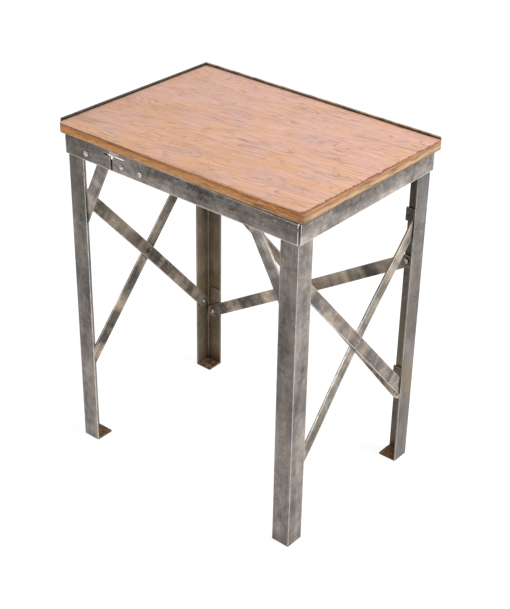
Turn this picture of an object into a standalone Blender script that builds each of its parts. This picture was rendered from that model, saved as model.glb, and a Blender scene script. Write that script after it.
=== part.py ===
"""Industrial work table: a riveted angle-steel frame with flat-bar braces and a plywood top.

Units are metres and +Z is up. X runs along the table, -Y is its open front, and the floor is z = 0.
"""
import math

import bmesh
import bpy
from mathutils import Matrix, Vector
from mathutils.geometry import intersect_line_line

# Driving dimensions: the frame, measured over the outer faces of the legs
FRAME_LENGTH = 0.538
FRAME_WIDTH = 0.381
FRAME_HEIGHT = 0.6717

# Rolled steel angle of the legs and the apron
ANGLE_FLANGE = 0.0381
ANGLE_THICKNESS = 0.0032
ANGLE_FILLET = 0.0022
ANGLE_TOE_RADIUS = 0.0014
ANGLE_HEEL_RADIUS = 0.0007
MITRE_GAP = 0.0007

# Flat bar of the braces
BAR_WIDTH = 0.0254
BAR_THICKNESS = 0.0032
BAR_END_FLAT = 0.030
CROSSING_FLAT = 0.028

# Rivets that hold the braces to the legs: distance from the leg's heel, rise of the low end above the
# floor, and drop of the high end below the top of the frame
RIVET_GAUGE = 0.021
BACK_LEFT_GAUGE = 0.018
BACK_RIGHT_GAUGE = 0.031
SIDE_BRACE_RISE = 0.163
SIDE_BRACE_DROP = 0.1247
LEFT_FALLING_RISE = 0.160
BACK_RISING_RISE = 0.1316
BACK_RISING_DROP = 0.2331
BACK_FALLING_RISE = 0.1375
BACK_FALLING_DROP = 0.2267

# Knee braces of the open front: drop of each rivet below the top of the frame, and the upper rivet's
# distance from the leg's outer face
KNEE_FOOT_DROP = 0.1767
KNEE_HEAD_DROP = 0.0267
KNEE_LEFT_REACH = 0.0910
KNEE_RIGHT_REACH = 0.0990

# Front right corner of the apron, which stands open: how far each end stops short of the corner
CORNER_OPEN_FRONT = 0.0024
CORNER_OPEN_SIDE = 0.0036

# Splice in the front apron: middle of the slit from the outer face of the left leg, the saw cut that
# crosses it, and the bar and rivets behind it, with drops below the top of the frame
SPLICE_POSITION = 0.115
SPLICE_GAP = 0.0065
SPLICE_CUT_DROP = 0.0078
SPLICE_CUT_HEIGHT = 0.0039
SPLICE_CUT_LEFT = 0.017
SPLICE_CUT_RIGHT = 0.028
SPLICE_BAR_WIDTH = 0.0205
SPLICE_BAR_DROP = 0.0197
SPLICE_RIVET_DROP = 0.0242
SPLICE_RIVET_EDGE = 0.0119
SPLICE_RIVET_OFFSET = 0.0253
SPLICE_RIVET_PITCH = 0.045

# Small steel tabs inside the back legs, and the plates that close the legs at the floor
TAB_WIDTH = 0.026
TAB_HEIGHT = 0.027
TAB_THICKNESS = 0.0032
TAB_OVERHANG = 0.0025
TAB_LEFT_RISE = 0.1775
TAB_RIGHT_RISE = 0.1855
TAB_DROP = 0.1364
FOOT_PLATE_THICKNESS = 0.004

# Rivets and screws
RIVET_SHANK = 0.0048
RIVET_HEAD = 0.012
RIVET_HEAD_HEIGHT = 0.0032
RIVET_SEAT_DEPTH = 0.0018
SCREW_SHANK = 0.0042
SCREW_HEAD = 0.0082
SCREW_HEAD_HEIGHT = 0.0017
SCREW_GRIP = 0.011
BOARD_SCREW_GAUGE = 0.023
BOARD_SCREW_INSET = 0.125
BOARD_SCREW_FROM_SPLICE = 0.036

# Plywood top and the steel strips on its back and left edges
BOARD_THICKNESS = 0.019
BOARD_FRONT_OVERHANG = 0.0015
BOARD_RIGHT_OVERHANG = 0.006
BOARD_LEFT_OVERHANG = 0.0090
BOARD_BACK_OVERHANG = 0.0068
BOARD_FRONT_CORNER = 0.007
BOARD_BACK_CORNER = 0.002
BOARD_TOP_ROUND = 0.004
BOARD_BOTTOM_ROUND = 0.001
STRIP_HEIGHT = 0.0222
STRIP_THICKNESS = 0.0032
STRIP_LIP = 0.005
STRIP_FRONT_SETBACK = 0.009
STRIP_RIGHT_SETBACK = 0.003
STRIP_SCREW_INSET = 0.060

# Fits
CLEARANCE = 0.0003
HOLE_CLEARANCE = 0.0003

# Steps of the curved stretches
ROUND_SEGMENTS = 14
CORNER_SEGMENTS = 4
SHARPEST_CORNER = 0.0005
TOE_SEGMENTS = 3
HEEL_SEGMENTS = 2
BOW_STEPS = 16
DOME_SHARES = (0.0, 0.4, 0.75)
BAR_END_ANGLES = (80, 60, 35, 0)

# Places worked out from the driving dimensions
HALF_LENGTH = FRAME_LENGTH / 2
HALF_WIDTH = FRAME_WIDTH / 2
APRON_OFFSET = CLEARANCE + ANGLE_THICKNESS
APRON_BOTTOM = FRAME_HEIGHT - ANGLE_FLANGE
LEG_HEIGHT = FRAME_HEIGHT - ANGLE_THICKNESS - ANGLE_FILLET - CLEARANCE
BOARD_BOTTOM = FRAME_HEIGHT + CLEARANCE
BOARD_TOP = BOARD_BOTTOM + BOARD_THICKNESS
BOARD_LEFT = -HALF_LENGTH - APRON_OFFSET - BOARD_LEFT_OVERHANG
BOARD_RIGHT = HALF_LENGTH + APRON_OFFSET + BOARD_RIGHT_OVERHANG
BOARD_FRONT = -HALF_WIDTH - APRON_OFFSET - BOARD_FRONT_OVERHANG
BOARD_BACK = HALF_WIDTH + APRON_OFFSET + BOARD_BACK_OVERHANG
STRIP_SCREW_REACH = CLEARANCE + STRIP_THICKNESS + CLEARANCE + SCREW_HEAD_HEIGHT
SPLICE_RIVET_FRONT = -HALF_WIDTH - APRON_OFFSET - CLEARANCE - RIVET_HEAD_HEIGHT
TABLE_FRONT = min(BOARD_FRONT, SPLICE_RIVET_FRONT)
TABLE_BACK = BOARD_BACK + STRIP_SCREW_REACH
TABLE_LEFT = BOARD_LEFT - STRIP_SCREW_REACH
TABLE_CENTRE = Vector(((TABLE_LEFT + BOARD_RIGHT) / 2, (TABLE_FRONT + TABLE_BACK) / 2, 0.0))

X_AXIS = Vector((1, 0, 0))
Y_AXIS = Vector((0, 1, 0))
Z_AXIS = Vector((0, 0, 1))

# Looks taken from the photograph: colour, roughness, metallic
WORN_STEEL = ((0.17, 0.16, 0.15), 0.42, 1.0)
BROWN_STEEL = ((0.10, 0.075, 0.055), 0.55, 0.9)
DARK_STEEL = ((0.035, 0.022, 0.014), 0.50, 0.8)
BRIGHT_STEEL = ((0.34, 0.32, 0.30), 0.35, 1.0)
PLYWOOD = ((0.62, 0.36, 0.22), 0.55, 0.0)

# Holes waiting to be cut, by node name: centre of the hole, its axis, radius and length
holes = {}


def clear_scene():
    """Empties the scene that the script runs in."""
    for old in list(bpy.data.objects):
        bpy.data.objects.remove(old, do_unlink=True)


def make_root():
    """Empty that carries every piece, so that the table stands centred on the origin."""
    empty = bpy.data.objects.new("table_root", None)
    empty.location = -TABLE_CENTRE
    bpy.context.scene.collection.objects.link(empty)
    return empty


def finish(piece, look):
    """Gives a piece its own Principled material."""
    colour, roughness, metallic = look
    material = bpy.data.materials.new(piece.name)
    material.use_nodes = True
    shader = material.node_tree.nodes["Principled BSDF"]
    shader.inputs["Base Color"].default_value = (*colour, 1.0)
    shader.inputs["Roughness"].default_value = roughness
    shader.inputs["Metallic"].default_value = metallic
    piece.data.materials.append(material)


def add_piece(name, shape, look, place, smooth=False):
    """Turns a bmesh into a named object and puts it at the matrix place under the table's root."""
    bmesh.ops.recalc_face_normals(shape, faces=shape.faces)
    for face in shape.faces:
        face.smooth = smooth
    mesh = bpy.data.meshes.new(name)
    shape.to_mesh(mesh)
    shape.free()
    piece = bpy.data.objects.new(name, mesh)
    bpy.context.scene.collection.objects.link(piece)
    piece.parent = root
    piece.location = place.to_translation()
    piece.rotation_euler = place.to_euler()
    finish(piece, look)
    return piece


def axes_at(origin, along, across, normal):
    """Matrix of a local frame whose X, Y and Z axes are along, across and normal."""
    turn = Matrix((along, across, normal)).transposed()
    return Matrix.Translation(origin) @ turn.to_4x4()


def aim_at(origin, normal):
    """Matrix of a local frame whose Z axis points along normal."""
    return Matrix.Translation(origin) @ normal.to_track_quat("Z", "Y").to_matrix().to_4x4()


def arc(centre, radius, start, end, segments):
    """Points on a circular arc, with its angles in degrees."""
    points = []
    for step in range(segments + 1):
        angle = math.radians(start + (end - start) * step / segments)
        points.append((centre[0] + radius * math.cos(angle), centre[1] + radius * math.sin(angle)))
    return points


def skin_rings(rings):
    """Closed shape through a row of rings that all have the same number of points."""
    shape = bmesh.new()
    rows = [[shape.verts.new(point) for point in ring] for ring in rings]
    count = len(rows[0])
    for lower, upper in zip(rows, rows[1:]):
        for index in range(count):
            after = (index + 1) % count
            shape.faces.new((lower[index], lower[after], upper[after], upper[index]))
    shape.faces.new(rows[0])
    shape.faces.new(rows[-1])
    return shape


def prism(outline, start, end):
    """Straight prism along local Z. Start and end are heights, or functions of an outline point."""
    low = [(u, v, start(u, v) if callable(start) else start) for u, v in outline]
    high = [(u, v, end(u, v) if callable(end) else end) for u, v in outline]
    return skin_rings([low, high])


def angle_outline():
    """Section of the rolled angle: heel at the origin, flanges along +u and +v."""
    flange = ANGLE_FLANGE
    wall = ANGLE_THICKNESS
    toe = ANGLE_TOE_RADIUS
    heel = ANGLE_HEEL_RADIUS
    inner = wall + ANGLE_FILLET
    outline = arc((heel, heel), heel, 180, 270, HEEL_SEGMENTS)
    outline += [(flange, 0.0)]
    outline += arc((flange - toe, wall - toe), toe, 0, 90, TOE_SEGMENTS)
    outline += arc((inner, inner), ANGLE_FILLET, 270, 180, CORNER_SEGMENTS)
    outline += arc((wall - toe, flange - toe), toe, 0, 90, TOE_SEGMENTS)
    outline += [(0.0, flange)]
    return outline


def box_shape(size, corner=(0.0, 0.0, 0.0)):
    """Box of a given size with its lower corner at a given place."""
    left, front, bottom = corner
    right = left + size[0]
    back = front + size[1]
    outline = [(left, front), (right, front), (right, back), (left, back)]
    return prism(outline, bottom, bottom + size[2])


def turned(profile):
    """Solid of revolution about local Z. The profile's rows are radius and height, axis to axis."""
    shape = bmesh.new()
    bottom = shape.verts.new((0, 0, profile[0][1]))
    top = shape.verts.new((0, 0, profile[-1][1]))
    rows = []
    for radius, height in profile[1:-1]:
        circle = arc((0, 0), radius, 0, 360 - 360 / ROUND_SEGMENTS, ROUND_SEGMENTS - 1)
        rows.append([shape.verts.new((x, y, height)) for x, y in circle])
    for lower, upper in zip(rows, rows[1:]):
        for index in range(ROUND_SEGMENTS):
            after = (index + 1) % ROUND_SEGMENTS
            shape.faces.new((lower[index], lower[after], upper[after], upper[index]))
    for index in range(ROUND_SEGMENTS):
        after = (index + 1) % ROUND_SEGMENTS
        shape.faces.new((bottom, rows[0][after], rows[0][index]))
        shape.faces.new((top, rows[-1][index], rows[-1][after]))
    return shape


def dome(radius, height, base, direction):
    """Profile rows of a domed head, from its rim on base to just short of its crown."""
    ball = (radius * radius + height * height) / (2 * height)
    rows = []
    for share in DOME_SHARES:
        rise = height * share
        reach = math.sqrt(max(ball * ball - (ball - height + rise) ** 2, 0.0))
        rows.append((reach, base + direction * rise))
    return rows


def drill(node, centre, axis, radius, length):
    """Notes a round hole, to be cut when every piece is in place."""
    holes.setdefault(node, []).append((centre, axis, radius, length))


def headed_fastener(name, seat, outward, depth, shank, head, head_height, look):
    """Rivet or screw with one domed head: seat lies on the face under the head."""
    head_base = CLEARANCE
    profile = [(0.0, -depth), (shank / 2, -depth), (shank / 2, head_base)]
    profile += dome(head / 2, head_height, head_base, 1)
    profile += [(0.0, head_base + head_height)]
    return add_piece(name, turned(profile), look, aim_at(seat, outward), smooth=True)


def through_rivet(name, seat, outward, grip, look):
    """Rivet with a domed head on both sides of a stack of the thickness grip."""
    tail_base = -grip - CLEARANCE
    tail = dome(RIVET_HEAD / 2, RIVET_HEAD_HEIGHT, tail_base, -1)
    profile = [(0.0, tail_base - RIVET_HEAD_HEIGHT)] + tail[::-1]
    profile += [(RIVET_SHANK / 2, tail_base), (RIVET_SHANK / 2, CLEARANCE)]
    profile += dome(RIVET_HEAD / 2, RIVET_HEAD_HEIGHT, CLEARANCE, 1)
    profile += [(0.0, CLEARANCE + RIVET_HEAD_HEIGHT)]
    return add_piece(name, turned(profile), look, aim_at(seat, outward), smooth=True)


def seated_rivet(name, seat, outward, plates, base):
    """Rivet through the plates into a blind seat in the base piece, whose far face stays unbroken."""
    grip = len(plates) * (BAR_THICKNESS + CLEARANCE)
    depth = grip + RIVET_SEAT_DEPTH
    headed_fastener(name, seat, outward, depth, RIVET_SHANK, RIVET_HEAD, RIVET_HEAD_HEIGHT, WORN_STEEL)
    radius = RIVET_SHANK / 2 + HOLE_CLEARANCE
    for plate in plates:
        drill(plate, seat - outward * grip / 2, outward, radius, grip + BAR_THICKNESS)
    bottom = seat - outward * (depth + HOLE_CLEARANCE)
    drill(base, bottom + outward * BAR_THICKNESS, outward, radius, 2 * BAR_THICKNESS)


def screw_into_board(name, seat, outward, plate, plate_thickness):
    """Screw through a steel plate into the edge or the underside of the plywood top."""
    grip = plate_thickness + CLEARANCE
    depth = grip + SCREW_GRIP
    headed_fastener(name, seat, outward, depth, SCREW_SHANK, SCREW_HEAD, SCREW_HEAD_HEIGHT, BRIGHT_STEEL)
    radius = SCREW_SHANK / 2 + HOLE_CLEARANCE
    drill(plate, seat - outward * grip / 2, outward, radius, grip + plate_thickness)
    middle = seat - outward * (depth + HOLE_CLEARANCE) / 2
    drill("top_board", middle, outward, radius, depth + HOLE_CLEARANCE)


def cut(piece, cutter_shape):
    """Subtracts a bmesh in the root's frame from a piece, once, and leaves plain mesh behind."""
    bmesh.ops.recalc_face_normals(cutter_shape, faces=cutter_shape.faces)
    mesh = bpy.data.meshes.new("cutter")
    cutter_shape.to_mesh(mesh)
    cutter_shape.free()
    cutter = bpy.data.objects.new("cutter", mesh)
    bpy.context.scene.collection.objects.link(cutter)
    cutter.parent = root
    boolean = piece.modifiers.new("cut", "BOOLEAN")
    boolean.operation = "DIFFERENCE"
    boolean.solver = "EXACT"
    boolean.object = cutter
    bpy.context.view_layer.update()
    result = piece.evaluated_get(bpy.context.evaluated_depsgraph_get())
    finished = bpy.data.meshes.new_from_object(result)
    piece.modifiers.clear()
    piece.data = finished
    bpy.data.objects.remove(cutter, do_unlink=True)


def cut_holes():
    """Cuts all the noted holes, with one cutter for each piece."""
    for node, rows in holes.items():
        cutter = bmesh.new()
        for centre, axis, radius, length in rows:
            bmesh.ops.create_cone(
                cutter, cap_ends=True, segments=ROUND_SEGMENTS, radius1=radius, radius2=radius,
                depth=length, matrix=aim_at(centre, axis))
        cut(bpy.data.objects[node], cutter)


def quarter_turn(quarters):
    """Turn about Z by a number of right angles."""
    return Matrix.Rotation(math.pi / 2 * quarters, 4, "Z")


def build_legs():
    """Four angle legs with the heel outwards, each with a plate closing it at the floor."""
    corners = (
        ("back_left", -1, 1, 3),
        ("front_left", -1, -1, 0),
        ("front_right", 1, -1, 1),
        ("back_right", 1, 1, 2),
    )
    inside = ANGLE_THICKNESS + CLEARANCE
    bevel = inside + ANGLE_FILLET
    edge = ANGLE_FLANGE
    plate = [(bevel, inside), (edge, inside), (edge, edge), (inside, edge), (inside, bevel)]
    for corner, side_x, side_y, quarters in corners:
        heel = Vector((side_x * HALF_LENGTH, side_y * HALF_WIDTH, 0.0))
        place = Matrix.Translation(heel) @ quarter_turn(quarters)
        add_piece(f"{corner}_leg", prism(angle_outline(), 0.0, LEG_HEIGHT), WORN_STEEL, place)
        add_piece(f"{corner}_foot_plate", prism(plate, 0.0, FOOT_PLATE_THICKNESS), BROWN_STEEL, place)


def apron_shape(start, end, mitre_start, mitre_end):
    """Apron angle along local Z, heel up: u runs inwards and v runs down. Mitred ends recede with u."""
    def low(u, v):
        return start + u + MITRE_GAP / 2 if mitre_start else start

    def high(u, v):
        return end - u - MITRE_GAP / 2 if mitre_end else end

    return prism(angle_outline(), low, high)


def apron_place(quarters, half_along, half_out):
    """Frame of one apron: 0 is the front, and each quarter turn goes on to the right, back and left."""
    corner = Vector((half_along, -half_out, FRAME_HEIGHT))
    front = axes_at(corner, Y_AXIS, -Z_AXIS, -X_AXIS)
    return quarter_turn(quarters) @ front


def build_aprons():
    """Ring of angles outside the legs, with the splice near the left end of its front."""
    half_x = HALF_LENGTH + APRON_OFFSET
    half_y = HALF_WIDTH + APRON_OFFSET
    slit = half_x + HALF_LENGTH - SPLICE_POSITION
    front = apron_place(0, half_x, half_y)
    main_shape = apron_shape(CORNER_OPEN_FRONT, slit - SPLICE_GAP / 2, True, False)
    main = add_piece("front_apron", main_shape, WORN_STEEL, front)
    corner_shape = apron_shape(slit + SPLICE_GAP / 2, 2 * half_x, False, True)
    corner = add_piece("front_apron_corner_piece", corner_shape, WORN_STEEL, front)
    cut_size = (SPLICE_CUT_LEFT + SPLICE_GAP + SPLICE_CUT_RIGHT, 2 * ANGLE_THICKNESS, SPLICE_CUT_HEIGHT)
    cut_corner = (
        half_x - slit - SPLICE_GAP / 2 - SPLICE_CUT_LEFT,
        -half_y - ANGLE_THICKNESS / 2,
        FRAME_HEIGHT - SPLICE_CUT_DROP - SPLICE_CUT_HEIGHT)
    for piece in (main, corner):
        cut(piece, box_shape(cut_size, cut_corner))
    others = (
        ("right_apron", 1, half_y, half_x, WORN_STEEL),
        ("back_apron", 2, half_x, half_y, BROWN_STEEL),
        ("left_apron", 3, half_y, half_x, BROWN_STEEL),
    )
    for name, quarters, half_along, half_out, look in others:
        shape = apron_shape(0, 2 * half_along, True, True)
        add_piece(name, shape, look, apron_place(quarters, half_along, half_out))
    end_size = (2 * ANGLE_FLANGE, 2 * CORNER_OPEN_SIDE, 2 * ANGLE_FLANGE)
    end_corner = (half_x - ANGLE_FLANGE, -half_y - CORNER_OPEN_SIDE, FRAME_HEIGHT - 1.5 * ANGLE_FLANGE)
    cut(bpy.data.objects["right_apron"], box_shape(end_size, end_corner))


def build_splice():
    """Bar behind the slit in the front apron, as thick as the leg it butts against, and three rivets."""
    slit = -HALF_LENGTH + SPLICE_POSITION
    bar_start = -HALF_LENGTH + ANGLE_FLANGE + CLEARANCE
    first = bar_start + SPLICE_RIVET_EDGE
    second = slit + SPLICE_RIVET_OFFSET
    third = second + SPLICE_RIVET_PITCH
    bar_size = (third + SPLICE_RIVET_EDGE - bar_start, ANGLE_THICKNESS, SPLICE_BAR_WIDTH)
    bar_bottom = FRAME_HEIGHT - SPLICE_BAR_DROP - SPLICE_BAR_WIDTH
    place = Matrix.Translation((bar_start, -HALF_WIDTH, bar_bottom))
    add_piece("splice_bar", box_shape(bar_size), WORN_STEEL, place)
    grip = 2 * ANGLE_THICKNESS + CLEARANCE
    owners = ((first, "front_apron_corner_piece"), (second, "front_apron"), (third, "front_apron"))
    for index, (x, owner) in enumerate(owners, start=1):
        seat = Vector((x, -HALF_WIDTH - APRON_OFFSET, FRAME_HEIGHT - SPLICE_RIVET_DROP))
        through_rivet(f"splice_rivet_{index}", seat, -Y_AXIS, grip, BRIGHT_STEEL)
        middle = seat + Y_AXIS * grip / 2
        for node in (owner, "splice_bar"):
            drill(node, middle, Y_AXIS, RIVET_SHANK / 2 + HOLE_CLEARANCE, 2 * grip)


def ease(share):
    """Smooth step from 0 to 1."""
    share = min(max(share, 0.0), 1.0)
    return (1 - math.cos(math.pi * share)) / 2


def bar_shape(length, offset_at, stations):
    """Flat bar with round ends along local X, from rivet to rivet, whose mid plane follows offset_at."""
    half = BAR_WIDTH / 2
    turns = [math.radians(angle) for angle in BAR_END_ANGLES]
    first_end = [(-half * math.sin(turn), half * math.cos(turn)) for turn in turns]
    second_end = [(length - along, width) for along, width in reversed(first_end)]
    rows = first_end + [(length * station, half) for station in stations] + second_end
    rings = []
    for along, width in rows:
        middle = offset_at(along)
        low = middle - BAR_THICKNESS / 2
        high = middle + BAR_THICKNESS / 2
        rings.append([(along, -width, low), (along, width, low), (along, width, high), (along, -width, high)])
    return skin_rings(rings)


def add_bar(name, start, end, inward, offset_at, stations, look):
    """Places a bar between two rivet points that lie on the face the bar is fixed to."""
    along = (end - start).normalized()
    place = axes_at(start, along, inward.cross(along), inward)
    add_piece(name, bar_shape((end - start).length, offset_at, stations), look, place)


def build_cross(side, nodes, ends, inward, looks):
    """Two crossed bars on one side of the frame. The second one bows over the first where they cross, and a
    rivet with its head inside and its tail ground flush holds them there."""
    flat_seat = CLEARANCE + BAR_THICKNESS / 2
    bow = BAR_THICKNESS + CLEARANCE
    stations = [step / BOW_STEPS for step in range(1, BOW_STEPS)]
    for layer, (node, (start, end)) in enumerate(zip(nodes, ends)):
        length = (end[1] - start[1]).length
        ramp = length / 2 - BAR_END_FLAT - CROSSING_FLAT

        def offset_at(along):
            to_end = min(along, length - along) - BAR_END_FLAT
            return flat_seat + layer * bow * ease(to_end / ramp)

        add_bar(node, start[1], end[1], inward, offset_at, stations if layer else [0.5], looks[layer])
        for label, (leg, point) in (("a", start), ("b", end)):
            seat = point + inward * (CLEARANCE + BAR_THICKNESS)
            seated_rivet(f"{node}_rivet_{label}", seat, inward, [node], leg)
    corners = [point for bar in ends for _, point in bar]
    crossing = intersect_line_line(*corners)[0]
    stack = 2 * BAR_THICKNESS + CLEARANCE
    seat = crossing + inward * (CLEARANCE + stack)
    rivet = f"{side}_crossing_rivet"
    headed_fastener(rivet, seat, inward, stack, RIVET_SHANK, RIVET_HEAD, RIVET_HEAD_HEIGHT, WORN_STEEL)
    for node in nodes:
        drill(node, seat - inward * stack / 2, inward, RIVET_SHANK / 2 + HOLE_CLEARANCE, 2 * stack)


def leg_point(leg, x, y, z):
    """A rivet point on a leg, with the name of the leg."""
    return (f"{leg}_leg", Vector((x, y, z)))


def build_braces():
    """Crossed braces on the left, right and back. The front stays open."""
    face_x = HALF_LENGTH - ANGLE_THICKNESS
    face_y = HALF_WIDTH - ANGLE_THICKNESS
    gauge_y = HALF_WIDTH - RIVET_GAUGE
    side_high = FRAME_HEIGHT - SIDE_BRACE_DROP
    for side, sign, falling_rise in (("left", -1, LEFT_FALLING_RISE), ("right", 1, SIDE_BRACE_RISE)):
        x = sign * face_x
        front = f"front_{side}"
        back = f"back_{side}"
        falling = (leg_point(front, x, -gauge_y, side_high), leg_point(back, x, gauge_y, falling_rise))
        rising = (leg_point(front, x, -gauge_y, SIDE_BRACE_RISE), leg_point(back, x, gauge_y, side_high))
        names = (f"{side}_brace_rising", f"{side}_brace_falling")
        bars = (rising, falling)
        if side == "right":
            names = names[::-1]
            bars = bars[::-1]
        build_cross(side, names, bars, -sign * X_AXIS, (WORN_STEEL, WORN_STEEL))
    left = -HALF_LENGTH + BACK_LEFT_GAUGE
    right = HALF_LENGTH - BACK_RIGHT_GAUGE
    falling = (
        leg_point("back_left", left, face_y, FRAME_HEIGHT - BACK_FALLING_DROP),
        leg_point("back_right", right, face_y, BACK_FALLING_RISE))
    rising = (
        leg_point("back_left", left, face_y, BACK_RISING_RISE),
        leg_point("back_right", right, face_y, FRAME_HEIGHT - BACK_RISING_DROP))
    names = ("back_brace_falling", "back_brace_rising")
    build_cross("back", names, (falling, rising), -Y_AXIS, (BROWN_STEEL, WORN_STEEL))


def build_knee(side, sign, reach, backing, lean):
    """Knee brace from a front leg up to the back of the apron. It leans out once past the leg's flange."""
    face_y = -HALF_WIDTH + ANGLE_THICKNESS
    foot = Vector((sign * (HALF_LENGTH - RIVET_GAUGE), face_y, FRAME_HEIGHT - KNEE_FOOT_DROP))
    head = Vector((sign * (HALF_LENGTH - reach), face_y, FRAME_HEIGHT - KNEE_HEAD_DROP))
    length = (head - foot).length
    rise = (head.z - foot.z) / length
    run = (reach - RIVET_GAUGE) / length
    lean_start = (ANGLE_FLANGE - RIVET_GAUGE + BAR_WIDTH / 2 * rise + CLEARANCE) / run
    lean_end = (APRON_BOTTOM - foot.z) / rise

    def offset_at(along):
        share = (along - lean_start) / (lean_end - lean_start)
        return CLEARANCE + BAR_THICKNESS / 2 - lean * min(max(share, 0.0), 1.0)

    name = f"{side}_knee_brace"
    add_bar(name, foot, head, Y_AXIS, offset_at, [lean_start / length, lean_end / length], WORN_STEEL)
    inner = CLEARANCE + BAR_THICKNESS
    seated_rivet(f"{name}_rivet_leg", foot + Y_AXIS * inner, Y_AXIS, [name], f"front_{side}_leg")
    seated_rivet(f"{name}_rivet_apron", head + Y_AXIS * (inner - lean), Y_AXIS, [name], backing)


def build_knees():
    """The left knee lies on the leg and the splice bar, the right one on the leg and the apron."""
    build_knee("left", -1, KNEE_LEFT_REACH, "splice_bar", 0.0)
    build_knee("right", 1, KNEE_RIGHT_REACH, "front_apron", APRON_OFFSET)


def build_tabs():
    """Small steel tabs on the inner faces of the back legs' rear flanges."""
    for side, sign, rise in (("left", -1, TAB_LEFT_RISE), ("right", 1, TAB_RIGHT_RISE)):
        for label, height in (("lower", rise), ("upper", FRAME_HEIGHT - TAB_DROP)):
            free_edge = sign * (HALF_LENGTH - ANGLE_FLANGE - TAB_OVERHANG)
            corner = Vector((
                min(free_edge, free_edge + sign * TAB_WIDTH),
                HALF_WIDTH - ANGLE_THICKNESS - CLEARANCE - TAB_THICKNESS,
                height - TAB_HEIGHT / 2))
            shape = box_shape((TAB_WIDTH, TAB_THICKNESS, TAB_HEIGHT))
            add_piece(f"back_{side}_{label}_tab", shape, BROWN_STEEL, Matrix.Translation(corner))


def rounded_rectangle(inset):
    """Outline of the board, drawn in by inset."""
    front_radius = max(BOARD_FRONT_CORNER - inset, SHARPEST_CORNER)
    back_radius = max(BOARD_BACK_CORNER - inset, SHARPEST_CORNER)
    corners = (
        (BOARD_RIGHT - inset, BOARD_FRONT + inset, front_radius, -90),
        (BOARD_RIGHT - inset, BOARD_BACK - inset, back_radius, 0),
        (BOARD_LEFT + inset, BOARD_BACK - inset, back_radius, 90),
        (BOARD_LEFT + inset, BOARD_FRONT + inset, front_radius, 180),
    )
    outline = []
    for x, y, radius, start in corners:
        centre = (x - math.copysign(radius, x), y - math.copysign(radius, y))
        outline += arc(centre, radius, start, start + 90, CORNER_SEGMENTS)
    return outline


def build_board():
    """Plywood top with its upper edge rounded by use."""
    levels = [(BOARD_BOTTOM, BOARD_BOTTOM_ROUND), (BOARD_BOTTOM + BOARD_BOTTOM_ROUND, 0.0)]
    centre = (0.0, BOARD_TOP - BOARD_TOP_ROUND)
    for out, height in arc(centre, BOARD_TOP_ROUND, 0, 90, CORNER_SEGMENTS):
        levels.append((height, BOARD_TOP_ROUND - out))
    rings = [[(x, y, height) for x, y in rounded_rectangle(inset)] for height, inset in levels]
    add_piece("top_board", skin_rings(rings), PLYWOOD, Matrix.Identity(4))


def build_strips():
    """Steel strips screwed to the back and left edges of the board, standing proud as a lip."""
    bottom = BOARD_TOP + STRIP_LIP - STRIP_HEIGHT
    screw_height = BOARD_BOTTOM + BOARD_THICKNESS / 2
    back_face = BOARD_BACK + CLEARANCE
    left_face = BOARD_LEFT - CLEARANCE
    back_start = left_face - STRIP_THICKNESS
    left_start = BOARD_FRONT + STRIP_FRONT_SETBACK
    back_size = (BOARD_RIGHT - STRIP_RIGHT_SETBACK - back_start, STRIP_THICKNESS, STRIP_HEIGHT)
    left_size = (STRIP_THICKNESS, back_face - CLEARANCE - left_start, STRIP_HEIGHT)
    back_place = Matrix.Translation((back_start, back_face, bottom))
    left_place = Matrix.Translation((back_start, left_start, bottom))
    add_piece("back_edge_strip", box_shape(back_size), DARK_STEEL, back_place)
    add_piece("left_edge_strip", box_shape(left_size), DARK_STEEL, left_place)
    for index, x in enumerate((BOARD_LEFT + STRIP_SCREW_INSET, BOARD_RIGHT - STRIP_SCREW_INSET), start=1):
        seat = Vector((x, back_face + STRIP_THICKNESS, screw_height))
        screw_into_board(f"back_strip_screw_{index}", seat, Y_AXIS, "back_edge_strip", STRIP_THICKNESS)
    for index, y in enumerate((BOARD_FRONT + STRIP_SCREW_INSET, BOARD_BACK - STRIP_SCREW_INSET), start=1):
        seat = Vector((left_face - STRIP_THICKNESS, y, screw_height))
        screw_into_board(f"left_strip_screw_{index}", seat, -X_AXIS, "left_edge_strip", STRIP_THICKNESS)


def build_board_screws():
    """Screws up through the flanges of the front and back aprons into the board."""
    slit_edge = -HALF_LENGTH + SPLICE_POSITION + SPLICE_GAP / 2
    places = (slit_edge + BOARD_SCREW_FROM_SPLICE, HALF_LENGTH - BOARD_SCREW_INSET)
    row = HALF_WIDTH + APRON_OFFSET - BOARD_SCREW_GAUGE
    for side, sign in (("front", -1), ("back", 1)):
        for index, x in enumerate(places, start=1):
            seat = Vector((x, sign * row, FRAME_HEIGHT - ANGLE_THICKNESS))
            screw_into_board(f"{side}_board_screw_{index}", seat, -Z_AXIS, f"{side}_apron", ANGLE_THICKNESS)


clear_scene()
root = make_root()
build_legs()
build_aprons()
build_splice()
build_braces()
build_knees()
build_tabs()
build_board()
build_strips()
build_board_screws()
cut_holes()
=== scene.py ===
import math

import bmesh
import bpy
import numpy as np
from mathutils import Matrix, Vector, noise


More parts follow.
